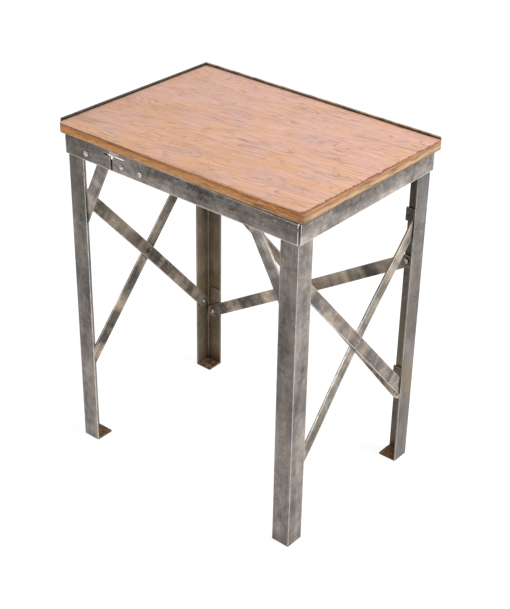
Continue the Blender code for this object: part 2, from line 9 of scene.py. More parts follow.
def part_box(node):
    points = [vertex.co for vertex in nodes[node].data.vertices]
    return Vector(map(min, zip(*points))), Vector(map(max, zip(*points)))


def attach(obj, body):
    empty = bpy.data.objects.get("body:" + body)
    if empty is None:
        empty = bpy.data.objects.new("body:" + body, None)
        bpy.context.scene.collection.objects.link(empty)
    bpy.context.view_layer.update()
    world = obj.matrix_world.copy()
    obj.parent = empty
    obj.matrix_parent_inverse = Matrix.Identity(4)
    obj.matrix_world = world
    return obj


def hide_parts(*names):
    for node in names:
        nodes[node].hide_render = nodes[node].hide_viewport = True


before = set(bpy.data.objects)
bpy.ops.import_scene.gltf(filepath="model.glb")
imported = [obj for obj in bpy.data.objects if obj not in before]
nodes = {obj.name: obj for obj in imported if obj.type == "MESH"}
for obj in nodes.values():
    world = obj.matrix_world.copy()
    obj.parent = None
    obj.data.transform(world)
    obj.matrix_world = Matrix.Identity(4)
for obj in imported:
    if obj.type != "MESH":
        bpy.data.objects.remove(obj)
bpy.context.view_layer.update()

# Axes by number, and a millimetre in metres
X, Y, Z = range(3)
MM = 0.001

# Camera fitted to the photograph: place in metres, angles in degrees, sizes in the image's pixels, and the
# sensor in millimetres
CAMERA_PLACE = (1.41935, -1.6907, 1.6490)
CAMERA_AZIMUTH = 39.54
CAMERA_ELEVATION = 30.12
CAMERA_ROLL = 1.04
FOCAL_PIXELS = 1329.8
IMAGE_WIDTH = 510
IMAGE_HEIGHT = 609
IMAGE_CENTRE = (255.6, 286.0)
SENSOR_WIDTH = 36.0

# Studio: soft light from all around, and lamps as place, size and watts
AMBIENT = 0.34
LAMP_AIM = (0.0, 0.0, 0.4)
LAMPS = {
    "key": ((3.15, 1.5, 2.8), 2.4, 157.0),
    "fill": ((-1.0, -2.2, 2.4), 0.7, 4.0),
    "sparkle": ((2.3, -1.7, 2.0), 0.35, 2.0),
}

# Floor: how far it reaches from the middle, its glow and paint where it is seen, and its paint elsewhere
FLOOR_REACH = 8.0
FLOOR_GLOW = 0.87
FLOOR_SHADE = 0.34
FLOOR_BOUNCE = 0.80

# The old board is a little out of square: how far each corner lies from a true rectangle's
FRONT_LEFT_SHIFT = Vector((-0.0030, -0.0025, 0.0))
FRONT_RIGHT_SHIFT = Vector((-0.0015, 0.0030, 0.0))
BACK_LEFT_SHIFT = Vector((0.0025, -0.0018, 0.0))
BACK_RIGHT_SHIFT = Vector((0.0, 0.0030, 0.0))

# Its upper edge is rounded by wear: how far the rounding reaches in from each edge near each corner
WEAR_FRONT_LEFT = 0.0022
WEAR_FRONT_RIGHT = 0.0085
WEAR_RIGHT_FRONT = 0.0090
WEAR_RIGHT_BACK = 0.0050
WEAR_HIDDEN = 0.0008

# Depth of the wear as a share of its reach, radii of the corners and the lower edge, and steps of the mesh
WEAR_DEPTH_SHARE = 0.55
FRONT_CORNER = 0.0070
BACK_CORNER = 0.0015
WORN_CORNER = 0.0160
BOTTOM_ROUND = 0.0012
EDGE_STEP = 0.0025
CORNER_STEPS = 12
WEAR_STEPS = 7

# Chips in the worn edge: their size, how much larger they are where wear is deep, and their ripples as waves
# per metre, seed and share
WEAR_CHIPS = 0.0016
CHIPS_AT_MOST = 1.5
CHIP_RIPPLES = ((60, 1.0, 1.0), (190, 5.0, 0.6))

# The edge below is uneven in level rows: their count and size, waves per metre, and seeds
EDGE_LEVELS = 8
EDGE_ROUGHNESS = 0.00035
EDGE_WAVES = 150
EDGE_SEED = 20.0
EDGE_SEED_STEP = 3.7

# A splinter that hangs from the board over the slit in the front apron: outline in millimetres, measured
# from the apron's left end and the board's underside, and its gap to the apron and thickness in metres
SPLINTER_OUTLINE = (
    (-5.2, 0.6), (-2.2, -6.0), (3.8, -8.3), (8.8, -7.3), (13.8, -5.5), (18.3, -0.5), (19.8, 0.6),
)
SPLINTER_GAP = 0.0003
SPLINTER_THICKNESS = 0.0020

# Steel strips round the board: the axis each runs along, how light it is, as painted light and shade that
# darkens the left strip and lightens the back one, and how bare its upper edge is
STRIPS = {"back_edge_strip": (X, 1.70, 1.0), "left_edge_strip": (Y, 0.32, 0.10)}
STRIP_EDGE_RADIUS = 0.0006
STRIP_STEP = 0.012
STRIP_WAVE = 0.0003
STRIP_WAVES_PER_METRE = 9
STRIP_SEED = 3.0

# Rivets: sizes of the shank and the head in metres, and the hammer's dents as a share of the head's height
RIVET_SHANK_RADIUS = 0.0024
RIVET_HEAD_HEIGHT = 0.0032
RIVET_RIM_SHARE = 0.18
RIVET_SEGMENTS = 22
RIVET_RINGS = 6
RIVET_DENTS = 0.16
RIVET_DENTS_PER_METRE = 350

# Direction in which a rivet's head looks, by a word in its name
RIVET_DIRECTIONS = {"knee": (0, 1, 0), "left": (1, 0, 0), "right": (-1, 0, 0), "plain": (0, -1, 0)}

# Colours as linear red, green and blue
STEEL_OUTSIDE = (0.224, 0.193, 0.170)
# Inner faces: brown patina and painted shade
STEEL_INSIDE_PATINA_AND_SHADE = (0.155, 0.122, 0.083)
BAR_OUTSIDE = (0.235, 0.196, 0.160)
BAR_INSIDE_PATINA_AND_SHADE = (0.200, 0.163, 0.124)
TAB_STEEL = (0.080, 0.060, 0.043)
STEEL_BLUE = (0.150, 0.155, 0.185)
STEEL_BROWN = (0.135, 0.094, 0.056)
STEEL_OLIVE = (0.250, 0.185, 0.085)
# Dirt and painted shade where other surfaces stand close
STEEL_DIRT_AND_SHADE = (0.020, 0.014, 0.010)
# Bright edges: worn steel and painted highlight
STEEL_EDGE_AND_HIGHLIGHT = (0.93, 0.885, 0.81)
STEEL_SCUFF = (0.50, 0.47, 0.44)
RUST_DARK = (0.050, 0.024, 0.010)
RUST_MID = (0.165, 0.092, 0.044)
RUST_LIGHT = (0.34, 0.21, 0.115)
RIVET_BRIGHT = (0.66, 0.64, 0.61)
RIVET_DULL = (0.52, 0.44, 0.35)
RIVET_DARK = (0.19, 0.155, 0.118)
STRIP_DARK = (0.030, 0.018, 0.008)
STRIP_BROWN = (0.150, 0.086, 0.040)
# Pale upper edge of the strips: bare worn steel and painted highlight
STRIP_EDGE = (0.66, 0.60, 0.48)
VENEER_PINK = (0.90, 0.525, 0.405)
VENEER_TAN = (0.90, 0.495, 0.290)
VENEER_PALE = (0.98, 0.66, 0.52)
VENEER_GREY = (0.64, 0.450, 0.420)
VENEER_STAIN = (0.68, 0.36, 0.165)
VENEER_SPOT = (0.40, 0.165, 0.095)
VENEER_FIBRE = (0.46, 0.245, 0.165)
VENEER_DENT = (0.27, 0.140, 0.085)
VENEER_BELOW = (0.62, 0.58, 0.50)
PLY_BROWN = (0.58, 0.250, 0.095)
PLY_ORANGE = (1.0, 0.420, 0.110)
PLY_RUST = (0.88, 0.310, 0.078)
PLY_OLIVE = (0.78, 0.430, 0.165)
PLY_PALE = (0.92, 0.620, 0.410)
PLY_RED = (0.95, 0.230, 0.042)
PLY_YELLOW = (1.0, 0.600, 0.190)
PLY_GLUE = (0.085, 0.045, 0.024)
END_RIM = (0.210, 0.082, 0.040)
END_RED = (0.40, 0.140, 0.052)
END_ORANGE = (0.47, 0.202, 0.072)
END_GREY = (0.25, 0.170, 0.090)
END_TAN = (0.43, 0.262, 0.136)
END_PALE = (0.60, 0.360, 0.190)
SPLINTER_GREEN = (0.60, 0.60, 0.46)
SPLINTER_PINK = (0.86, 0.70, 0.62)
SPLINTER_PALE = (0.95, 0.84, 0.77)

# Most values of a noise lie between these two
NOISE_LOW = 0.3
NOISE_HIGH = 0.7

# How far apart the noises of neighbouring pieces start, and how much of that goes to each axis
NOISE_STEP = 0.37
NOISE_SHIFT = (1.0, 1.7, 2.3)

# Grain of the top: angle from X in degrees, how far its lines wander in metres and how often in each metre,
# its count of year rings, and the dark share of a ring
GRAIN_ANGLE = 7.0
GRAIN_WANDER = 0.012
GRAIN_BENDS = 7.0
YEAR_RINGS = 24.0
RING_LINE = 0.30

# The top grows more tan towards the front by this much. Scratches cross it: their direction, and their shift
TAN_TOWARDS_FRONT = 0.10
SCRATCH_DIRECTION = (0.5, 0.87, 0.0)
SCRATCH_OFFSET = 0.3

# Plies as depth below the board's top in millimetres, on the long edges and on the ends. The long edges'
# plies rise a little from the left end to the right one, and all of them wobble
FRONT_PLIES = (
    (1.2, PLY_BROWN), (4.4, PLY_BROWN), (7.0, PLY_RUST), (9.2, PLY_ORANGE), (11.0, PLY_ORANGE),
    (13.2, PLY_OLIVE), (15.4, PLY_PALE), (17.9, PLY_OLIVE),
)
END_PLIES = (
    (0.4, END_RIM), (1.4, END_RED), (3.0, END_ORANGE), (4.8, END_RED), (6.2, END_GREY), (7.6, END_TAN),
    (9.2, END_TAN), (10.8, END_PALE), (13.4, END_PALE), (15.2, END_TAN), (16.8, END_GREY),
)
PLY_RISE = 0.0006
PLY_WOBBLE = 0.0020

# Where marks on the edge start and are full, in metres: flecks and the dark rim by depth, darkening by
# distance from the front right corner, and the painted shadow line in the crevice at the underside by height
# and by distance from the board's middle. At the right of the front the rim keeps only a share of its dark
FLECK_DEPTHS = (0.0035, 0.0065)
RIM_DEPTHS = (0.0030, 0.0008)
CORNER_DISTANCES = (0.035, 0.005)
SHADOW_LINE_HEIGHTS = (0.0024, 0.0008)
SHADOW_LINE_DISTANCES = (0.03, 0.12)
RIM_AT_RIGHT = 0.30

# Veneer still covers the worn edge down to these depths, at the left and right of the front and on the ends.
# It starts to reach deeper at a distance from the left end, and draws back near the right end
WRAP_LEFT = 0.0003
WRAP_RIGHT = 0.0015
WRAP_ENDS = 0.0002
WRAP_RISE = 0.10
WRAP_FALL = (0.055, 0.020)

# Its edge is ragged below a small depth, and bares the plies over a short way
RAGGED = 0.0005
RAGGED_BELOW = 0.0004
BARED_OVER = 0.0007

# Steel by a word in the names of the pieces: outer faces, inner faces, darker with brown patina and painted
# shade, and how far brown patina covers it
STEELS = {
    "_tab": (TAB_STEEL, TAB_STEEL, 0.60),
    "knee": (STEEL_OUTSIDE, STEEL_INSIDE_PATINA_AND_SHADE, 0.30),
    "brace": (BAR_OUTSIDE, BAR_INSIDE_PATINA_AND_SHADE, 0.35),
    "back_left_leg": (STEEL_INSIDE_PATINA_AND_SHADE, STEEL_INSIDE_PATINA_AND_SHADE, 0.60),
    "front_left_leg": (STEEL_OUTSIDE, STEEL_OUTSIDE, 0.30),
    "plain": (STEEL_OUTSIDE, STEEL_INSIDE_PATINA_AND_SHADE, 0.30),
}

# Rivets by a word in their names: the material's name, and the crown's colour and least roughness
RIVET_FINISHES = {
    "splice": ("bright_rivet", RIVET_BRIGHT, 0.18),
    "cross": ("dark_rivet", RIVET_DARK, 0.40),
    "plain": ("dull_rivet", RIVET_DULL, 0.30),
}
# Dents darker than the crown: hammer marks, and painted dark reflections on the dome
RIVET_DENT_SHADE = 0.22
RIVET_DULLING = 0.2

# Rust of the foot plates, by the value of its noise
RUST_STOPS = ((0.36, RUST_DARK), (0.51, RUST_MID), (0.66, RUST_LIGHT))

# How light single pieces are against the common finish of their kind: their own tone, and painted light
# and shade, such as the splice bar darkened as shade behind the slit and the back right upper tab darkened
# as shade under the apron
SHADES = {
    "back_brace_falling": 1.8,
    "back_left_leg": 1.15,
    "back_right_leg": 0.71,
    "front_apron_corner_piece": 0.76,
    "back_left_foot_plate": 0.95,
    "back_left_lower_tab": 2.4,
    "back_right_foot_plate": 1.40,
    "back_right_lower_tab": 1.15,
    "back_right_upper_tab": 0.42,
    "left_brace_falling": 0.92,
    "left_brace_rising": 0.70,
    "left_knee_brace": 1.38,
    "right_brace_falling": 0.88,
    "right_brace_rising": 1.08,
    "right_knee_brace": 1.16,
    "splice_bar": 0.4,
}

# How light some pieces are, at even steps from their lower or left end to the other end: painted light and
# shade, such as the shadow of the apron across the right knee brace and at the top of the back right leg,
# together with the steel's own uneven tone. On legs and aprons only the front faces follow this
LONG_SHADES = {
    "front_left_leg": (1.70, 1.12, 0.86, 0.64),
    "front_right_leg": (1.32, 0.95, 0.72, 1.18),
    "front_apron": (1.35, 1.05, 0.88, 0.55),
    "back_left_leg": (1.15, 1.30, 1.05, 1.10),
    "back_right_leg": (0.95, 1.30, 0.78, 0.05),
    "back_brace_rising": (1.55, 1.20, 0.82, 0.52),
    "left_brace_falling": (0.52, 0.88, 1.08, 2.00),
    "left_brace_rising": (1.85, 1.25, 0.70, 0.30),
    "right_knee_brace": (1.30, 0.52, 1.05, 2.00),
}

# Finish by a word in the names of the pieces: how strong the light bands across them are, which are
# painted reflections, how uneven the steel is, how light the narrow faces of bars are, as painted light
# and shade, how bright worn edges and their painted highlights are, how far these reach in metres, and
# how bright they stay where another piece lies close, as painted shade
BANDS = {"left_brace": 1.1, "back_brace": 1.2, "right_brace": 0.65, "knee": 0.7, "plain": 0.15}
UNEVEN = {"back_left_leg": 0.45, "back_right_leg": 0.75, "apron": 1.25, "plain": 1.0}
# Narrow faces of bars: painted light and shade
NARROW = {"left_brace_rising": 1.9, "left_knee": 0.9, "right_knee": 2.2, "plain": 0.5}
# The splice bar's low value keeps its edges dark behind the slit, as painted shade
EDGES = {
    "left_knee": 0.35, "tab": 0.25, "back_left_leg": 0.6, "back_right_leg": 0.55, "left_brace": 0.6,
    "back_brace": 0.3, "splice_bar": 0.1, "plain": 1.0,
}
EDGE_REACH = {"right_brace_rising": 0.0048, "plain": 0.0026}
CLOSE_EDGES = {"front_apron": 0.8, "plain": 0.3}

# Light and dark of steel: shares of clouds, blotches, specks and brushing, and how far these and the bands
# darken and lighten it. The bands are painted reflections
MARK_SHARES = (0.40, 0.26, 0.18, 0.16)
CLOUDS_DARKEN = 0.70
CLOUDS_LIGHTEN = 0.80
BANDS_DARKEN = 0.45
BANDS_LIGHTEN = 0.95

# Painted shade: aprons are darker under the board and grow lighter from there down
APRON_TOP_SHADE = 0.74
APRON_BOTTOM_SHADE = 1.20

# Rust climbs the legs from the floor, and heat has coloured the back legs round the lower tabs: heights and
# distances in metres where these start and are full
RUST_HEIGHTS = (0.045, 0.006)
HEAT_DISTANCES = (0.055, 0.015)

# Reach in metres over which another surface close by darkens the steel with dirt and painted shade,
# or keeps an edge from being rubbed bright, which also dims its painted highlight as painted shade
DIRT_AND_SHADE_REACH = 0.010
RIVET_DIRT_AND_SHADE_REACH = 0.0030
EDGE_SHADE_REACH = 0.008

# The saw cut across the slit isn't rubbed bright and keeps its painted edge highlight dim: its middle below
# the apron's top, how far from there edges are dull and are bright again, in metres, and how bright the dull
# ones are
SAW_CUT_DROP = 0.00975
SAW_CUT_DISTANCES = (0.0025, 0.0045)
SAW_CUT_EDGES = 0.30

# Painted highlight on edges: the direction that the brightest edges look in, and how bright the other edges
# are against them
HIGHLIGHT_SIDE = Vector((0.68, -0.72, 0.12))
OTHER_EDGES = 0.25

# In metres: how far inside an angle's box its hollow starts and is full, how far from the table's middle
# line a face lies to be wholly outer or inner, and how far below its top a strip starts to be bare and lit,
# as a painted highlight, and is so
HOLLOW_DEPTHS = (0.0003, 0.0010)
INSIDE_STEP = 0.02
STRIP_BARE = (0.0026, 0.0008)

BOARD_LOW, BOARD_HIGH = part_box("top_board")
BOARD_TOP = BOARD_HIGH.z
BOARD_THICKNESS = BOARD_HIGH.z - BOARD_LOW.z


def add_node(tree, kind, inputs=(), **options):
    """Adds a shader node, sets its options, and sets or links its inputs."""
    made = tree.nodes.new(kind)
    for name, value in options.items():
        setattr(made, name, value)
    for name, value in dict(inputs).items():
        if isinstance(value, bpy.types.NodeSocket):
            tree.links.new(value, made.inputs[name])
        else:
            made.inputs[name].default_value = value
    return made


class Graph:
    """Short calls that build the shader nodes of one material."""

    def __init__(self, name):
        self.material = bpy.data.materials.new(name)
        self.material.use_nodes = True
        self.tree = self.material.node_tree
        self.tree.nodes.clear()
        self.place = self.node("ShaderNodeTexCoord").outputs["Object"]
        surface = self.node("ShaderNodeNewGeometry")
        self.normal = surface.outputs["Normal"]
        self.flat_normal = surface.outputs["True Normal"]

    def node(self, kind, inputs=(), **options):
        """Adds a node to this material."""
        return add_node(self.tree, kind, inputs, **options)

    def turned(self, along, offset=0.0):
        """Places turned so that X runs along a direction, and shifted so that pieces differ."""
        turn = Vector(along).rotation_difference(Vector((1, 0, 0))).to_euler()
        shift = [offset * share for share in NOISE_SHIFT]
        inputs = {"Vector": self.place, "Rotation": turn, "Location": shift}
        return self.node("ShaderNodeMapping", inputs).outputs[0]

    def vector(self, operation, first, second, output=0):
        """One step of arithmetic with vectors."""
        return self.node("ShaderNodeVectorMath", {0: first, 1: second}, operation=operation).outputs[output]

    def noise(self, place, scale, detail=3.0, roughness=0.55, distortion=0.0):
        """Soft noise around 0.5, with its scale in features per metre: one for all axes, or one for each."""
        if isinstance(scale, tuple):
            place = self.vector("MULTIPLY", place, scale)
            scale = 1.0
        inputs = {
            "Vector": place, "Scale": scale, "Detail": detail,
            "Roughness": roughness, "Distortion": distortion,
        }
        return self.node("ShaderNodeTexNoise", inputs).outputs[0]

    def math(self, operation, first, second=0.0):
        """One step of arithmetic."""
        return self.node("ShaderNodeMath", {0: first, 1: second}, operation=operation).outputs[0]

    def product(self, first, *others):
        """Values multiplied with each other."""
        for other in others:
            first = self.math("MULTIPLY", first, other)
        return first

    def total(self, rows):
        """Sum of values, each times its share."""
        result = None
        for value, share in rows:
            part = self.math("MULTIPLY", value, share)
            result = part if result is None else self.math("ADD", result, part)
        return result

    def span(self, value, low, high, to_low=0.0, to_high=1.0):
        """Value carried from one range to another, and held at its ends."""
        inputs = {"Value": value, "From Min": low, "From Max": high, "To Min": to_low, "To Max": to_high}
        return self.node("ShaderNodeMapRange", inputs).outputs[0]

    def varied(self, texture, low, high):
        """Value that a noise moves between two ends."""
        return self.span(texture, NOISE_LOW, NOISE_HIGH, low, high)

    def ramp(self, value, stops):
        """Colour that follows a value through a row of stops."""
        made = self.node("ShaderNodeValToRGB", {"Fac": value})
        elements = made.color_ramp.elements
        for _ in range(len(stops) - len(elements)):
            elements.new(0.5)
        for element, (position, colour) in zip(elements, stops):
            element.position = position
            element.color = (*colour, 1.0)
        return made.outputs["Color"]

    def mix(self, amount, first, second, blend="MIX"):
        """Two colours mixed by an amount."""
        made = self.node("ShaderNodeMix", data_type="RGBA", blend_type=blend, clamp_factor=True)
        # Inputs 6 and 7 and output 2 are the node's colours
        for socket, value in ((made.inputs[0], amount), (made.inputs[6], first), (made.inputs[7], second)):
            if isinstance(value, bpy.types.NodeSocket):
                self.tree.links.new(value, socket)
            else:
                socket.default_value = (*value, 1.0) if isinstance(value, tuple) else value
        return made.outputs[2]

    def tinted(self, colour, tint):
        """Colour multiplied by another."""
        return self.mix(1.0, colour, tint, "MULTIPLY")

    def coat(self, colour, over, value, start, full, most=1.0, where=None):
        """Colour covered by another one as a value goes from start to full, and only where a mask allows."""
        amount = self.span(value, start, full, 0.0, most)
        if where is not None:
            amount = self.product(amount, where)
        return self.mix(amount, colour, over)

    def axis(self, vector, index):
        """One of the three parts of a vector."""
        return self.node("ShaderNodeSeparateXYZ", {0: vector}).outputs[index]

    def sheltered(self, reach):
        """1 where other surfaces stand close by, and 0 in the open."""
        light = self.node("ShaderNodeAmbientOcclusion", {"Distance": reach}, samples=8).outputs["AO"]
        return self.math("SUBTRACT", 1.0, light)

    def edges(self, reach):
        """Normal as if the edges were rounded, and how far it leans from the flat one: 0.3 at an edge."""
        rounded = self.node("ShaderNodeBevel", {"Radius": reach}, samples=6).outputs[0]
        facing = self.vector("DOT_PRODUCT", rounded, self.flat_normal, output="Value")
        return rounded, self.math("SUBTRACT", 1.0, facing)

    def hollow(self, low, high):
        """1 on the faces in the hollow of an angle, and 0 on the faces that lie on its box."""
        nearest = 1.0
        for index in (X, Y):
            across = self.axis(self.place, index)
            nearest = self.math("MINIMUM", nearest, self.math("SUBTRACT", across, low[index]))
            nearest = self.math("MINIMUM", nearest, self.math("SUBTRACT", high[index], across))
        return self.span(nearest, *HOLLOW_DEPTHS)

    def inside(self):
        """1 on faces that look towards the middle of the table, and 0 on its outer faces."""
        level = self.vector("MULTIPLY", self.place, (1, 1, 0))
        outward = self.vector("DOT_PRODUCT", self.flat_normal, level, output="Value")
        return self.span(outward, INSIDE_STEP, -INSIDE_STEP)

    def finish(self, colour, roughness, height, bump, metallic=0.0):
        """Principled surface with a bump of a given depth in metres."""
        normal = self.node("ShaderNodeBump", {"Height": height, "Distance": bump}).outputs[0]
        inputs = {"Base Color": colour, "Roughness": roughness, "Metallic": metallic, "Normal": normal}
        shader = self.node("ShaderNodeBsdfPrincipled", inputs)
        self.node("ShaderNodeOutputMaterial", {"Surface": shader.outputs[0]})
        return self.material


def by_word(table, name):
    """Value of the first word of a table that stands in a name, or else the table's plain value."""
    return next((value for word, value in table.items() if word in name), table["plain"])


def shaded(colour, shade):
    """Colour made lighter or darker."""
    return tuple(shade * channel for channel in colour)


def build_camera():
    """Camera at the photograph's place and angle."""
    azimuth = math.radians(CAMERA_AZIMUTH)
    elevation = math.radians(CAMERA_ELEVATION)
    back = Vector((
        math.sin(azimuth) * math.cos(elevation),
        -math.cos(azimuth) * math.cos(elevation),
        math.sin(elevation)))
    right = Vector((0, 0, 1)).cross(back).normalized()
    level = Matrix((right, back.cross(right), back)).transposed()
    turn = level @ Matrix.Rotation(math.radians(CAMERA_ROLL), 3, "Z")
    data = bpy.data.cameras.new("camera")
    data.sensor_width = SENSOR_WIDTH
    data.lens = FOCAL_PIXELS * SENSOR_WIDTH / IMAGE_HEIGHT
    data.shift_x = (IMAGE_WIDTH / 2 - IMAGE_CENTRE[0]) / IMAGE_HEIGHT
    data.shift_y = (IMAGE_CENTRE[1] - IMAGE_HEIGHT / 2) / IMAGE_HEIGHT
    camera = bpy.data.objects.new("camera", data)
    camera.matrix_world = Matrix.Translation(CAMERA_PLACE) @ turn.to_4x4()
    bpy.context.scene.collection.objects.link(camera)
    bpy.context.scene.camera = camera


def seen_directly(tree):
    """1 for rays from the camera, from gloss or through glass, and 0 for light on rough surfaces."""
    path = add_node(tree, "ShaderNodeLightPath")
    result = path.outputs["Is Camera Ray"]
    for other in ("Is Glossy Ray", "Is Transmission Ray"):
        inputs = {0: result, 1: path.outputs[other]}
        result = add_node(tree, "ShaderNodeMath", inputs, operation="MAXIMUM").outputs[0]
    return result


def build_world():
    """White surroundings where they are seen, and soft light from all sides elsewhere."""
    world = bpy.data.worlds.new("studio")
    bpy.context.scene.world = world
    world.use_nodes = True
    tree = world.node_tree
    tree.nodes.clear()
    inputs = {"Value": seen_directly(tree), "To Min": AMBIENT, "To Max": 1.0}
    strength = add_node(tree, "ShaderNodeMapRange", inputs).outputs[0]
    background = add_node(tree, "ShaderNodeBackground", {"Strength": strength, "Color": (1, 1, 1, 1)})
    add_node(tree, "ShaderNodeOutputWorld", {"Surface": background.outputs[0]})


def build_lamps():
    """Soft square lamps that look at the table."""
    for name, (place, size, power) in LAMPS.items():
        data = bpy.data.lights.new(name, "AREA")
        data.shape = "SQUARE"
        data.size = size
        data.energy = power
        lamp = bpy.data.objects.new(name, data)
        lamp.location = place
        lamp.rotation_euler = (Vector(LAMP_AIM) - Vector(place)).to_track_quat("-Z", "Y").to_euler()
        lamp.visible_camera = False
        bpy.context.scene.collection.objects.link(lamp)


def new_object(name, shape, material, smooth=False):
    """Turns a bmesh into an object of the scene."""
    bmesh.ops.recalc_face_normals(shape, faces=shape.faces)
    for face in shape.faces:
        face.smooth = smooth
    mesh = bpy.data.meshes.new(name)
    shape.to_mesh(mesh)
    shape.free()
    mesh.materials.append(material)
    thing = bpy.data.objects.new(name, mesh)
    bpy.context.scene.collection.objects.link(thing)
    return thing


def floor_paint():
    """White that glows where it is seen and keeps shadows."""
    graph = Graph("floor")
    seen = seen_directly(graph.tree)
    light = graph.node("ShaderNodeEmission", {"Strength": graph.product(seen, FLOOR_GLOW)})
    shade = graph.span(seen, 0.0, 1.0, FLOOR_BOUNCE, FLOOR_SHADE)
    paint = graph.node("ShaderNodeBsdfDiffuse", {"Color": shade})
    both = graph.node("ShaderNodeAddShader", {0: light.outputs[0], 1: paint.outputs[0]})
    graph.node("ShaderNodeOutputMaterial", {"Surface": both.outputs[0]})
    return graph.material


def build_floor():
    """White floor that keeps the table's shadow."""
    shape = bmesh.new()
    bmesh.ops.create_grid(shape, x_segments=1, y_segments=1, size=FLOOR_REACH)
    new_object("floor", shape, floor_paint())


def add_to_table(piece, slot, *replaced):
    """Fixes a piece to the table and hides the nodes that it stands for. The slot is not used."""
    if replaced:
        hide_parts(*replaced)
    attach(piece, "root")


def ripple(point, scale, seed):
    """Smooth random value between about -1 and 1."""
    return noise.noise(Vector((point.x * scale, point.y * scale, seed)))


def out_of_square(point):
    """Moves a point with the board, whose corners aren't quite at a true rectangle's."""
    right = (point.x - BOARD_LOW.x) / (BOARD_HIGH.x - BOARD_LOW.x)
    back = (point.y - BOARD_LOW.y) / (BOARD_HIGH.y - BOARD_LOW.y)
    front_shift = FRONT_LEFT_SHIFT.lerp(FRONT_RIGHT_SHIFT, right)
    back_shift = BACK_LEFT_SHIFT.lerp(BACK_RIGHT_SHIFT, right)
    return point + front_shift.lerp(back_shift, back)


def skin(rings):
    """Closed shape through rings of points that all have the same count."""
    shape = bmesh.new()
    rows = [[shape.verts.new(point) for point in ring] for ring in rings]
    count = len(rows[0])
    for lower, upper in zip(rows, rows[1:]):
        for index in range(count):
            after = (index + 1) % count
            shape.faces.new((lower[index], lower[after], upper[after], upper[index]))
    shape.faces.new(rows[0][::-1])
    shape.faces.new(rows[-1])
    return shape


def arc_point(corner, radius, angle):
    """Point at an angle in degrees on the arc that rounds a corner of the board."""
    centre = corner - Vector((math.copysign(radius, corner.x), math.copysign(radius, corner.y)))
    return centre + Vector((math.cos(math.radians(angle)), math.sin(math.radians(angle)))) * radius


def board_outline(corners):
    """Outline of the board. Each row is a corner point, its radius and its arc's first angle in degrees."""
    outline = []
    for number, (corner, radius, start) in enumerate(corners):
        angles = [start + 90 * step / CORNER_STEPS for step in range(CORNER_STEPS + 1)]
        outline += [arc_point(corner, radius, angle) for angle in angles]
        target = arc_point(*corners[(number + 1) % 4])
        length = BOARD_HIGH.x - BOARD_LOW.x if number % 2 else BOARD_HIGH.y - BOARD_LOW.y
        steps = round(length / EDGE_STEP)
        begin = outline[-1]
        outline += [begin.lerp(target, step / steps) for step in range(1, steps)]
    return outline


def worn_stations():
    """Places round the board's edge, each with its direction inwards and how far wear goes in and down."""
    left, front = BOARD_LOW.x, BOARD_LOW.y
    right, back = BOARD_HIGH.x, BOARD_HIGH.y
    outer = board_outline((
        (Vector((right, front)), FRONT_CORNER, -90),
        (Vector((right, back)), BACK_CORNER, 0),
        (Vector((left, back)), BACK_CORNER, 90),
        (Vector((left, front)), FRONT_CORNER, 180)))
    inner = board_outline((
        (Vector((right - WEAR_RIGHT_FRONT, front + WEAR_FRONT_RIGHT)), WORN_CORNER, -90),
        (Vector((right - WEAR_RIGHT_BACK, back - WEAR_HIDDEN)), BACK_CORNER, 0),
        (Vector((left + WEAR_HIDDEN, back - WEAR_HIDDEN)), BACK_CORNER, 90),
        (Vector((left + WEAR_HIDDEN, front + WEAR_FRONT_LEFT)), FRONT_CORNER, 180)))
    stations = []
    for rim, edge in zip(inner, outer):
        wear = (rim - edge).length
        inward = (rim - edge).normalized()
        chips = WEAR_CHIPS * sum(share * ripple(edge, waves, seed) for waves, seed, share in CHIP_RIPPLES)
        wear += chips * min(wear / WEAR_FRONT_LEFT, CHIPS_AT_MOST)
        stations.append((edge, inward, wear, WEAR_DEPTH_SHARE * wear))
    return stations


def build_board():
    """Plywood board out of square, with its upper edge worn round and chipped."""
    stations = worn_stations()
    low = BOARD_LOW.z + BOTTOM_ROUND
    rings = [[Vector((*(edge + inward * BOTTOM_ROUND), BOARD_LOW.z)) for edge, inward, _, _ in stations]]
    for level in range(EDGE_LEVELS):
        ring = []
        for edge, inward, _, depth in stations:
            uneven = EDGE_ROUGHNESS * ripple(edge, EDGE_WAVES, EDGE_SEED + EDGE_SEED_STEP * level)
            height = low + (BOARD_TOP - depth - low) * level / (EDGE_LEVELS - 1)
            ring.append(Vector((*(edge + inward * uneven), height)))
        rings.append(ring)
    for step in range(1, WEAR_STEPS + 1):
        angle = math.pi / 2 * step / WEAR_STEPS
        ring = []
        for edge, inward, wear, depth in stations:
            place = edge + inward * wear * (1 - math.cos(angle))
            ring.append(Vector((*place, BOARD_TOP - depth * (1 - math.sin(angle)))))
        rings.append(ring)
    rings = [[out_of_square(point) for point in ring] for ring in rings]
    add_to_table(new_object("worn_board", skin(rings), plywood(), smooth=True), "plywood", "top_board")


def build_splinter():
    """Splinter torn from the board's lower veneer, hanging in front of the slit."""
    start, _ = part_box("front_apron")
    outline = [(start.x + x * MM, BOARD_LOW.z + z * MM) for x, z in SPLINTER_OUTLINE]
    face = start.y - SPLINTER_GAP
    rings = [[Vector((x, depth, z)) for x, z in outline] for depth in (face, face - SPLINTER_THICKNESS)]
    add_to_table(new_object("splinter", skin(rings), torn_wood()), "plywood")


def strip_section(near, far, bottom, top):
    """Section of a strip across its thickness and height, with its edges eased."""
    radius = STRIP_EDGE_RADIUS
    near, far = near + radius, far - radius
    bottom, top = bottom + radius, top - radius
    points = []
    for across, up, start in ((far, bottom, -90), (far, top, 0), (near, top, 90), (near, bottom, 180)):
        for turn in (0, 45, 90):
            angle = math.radians(start + turn)
            points.append((across + radius * math.cos(angle), up + radius * math.sin(angle)))
    return points


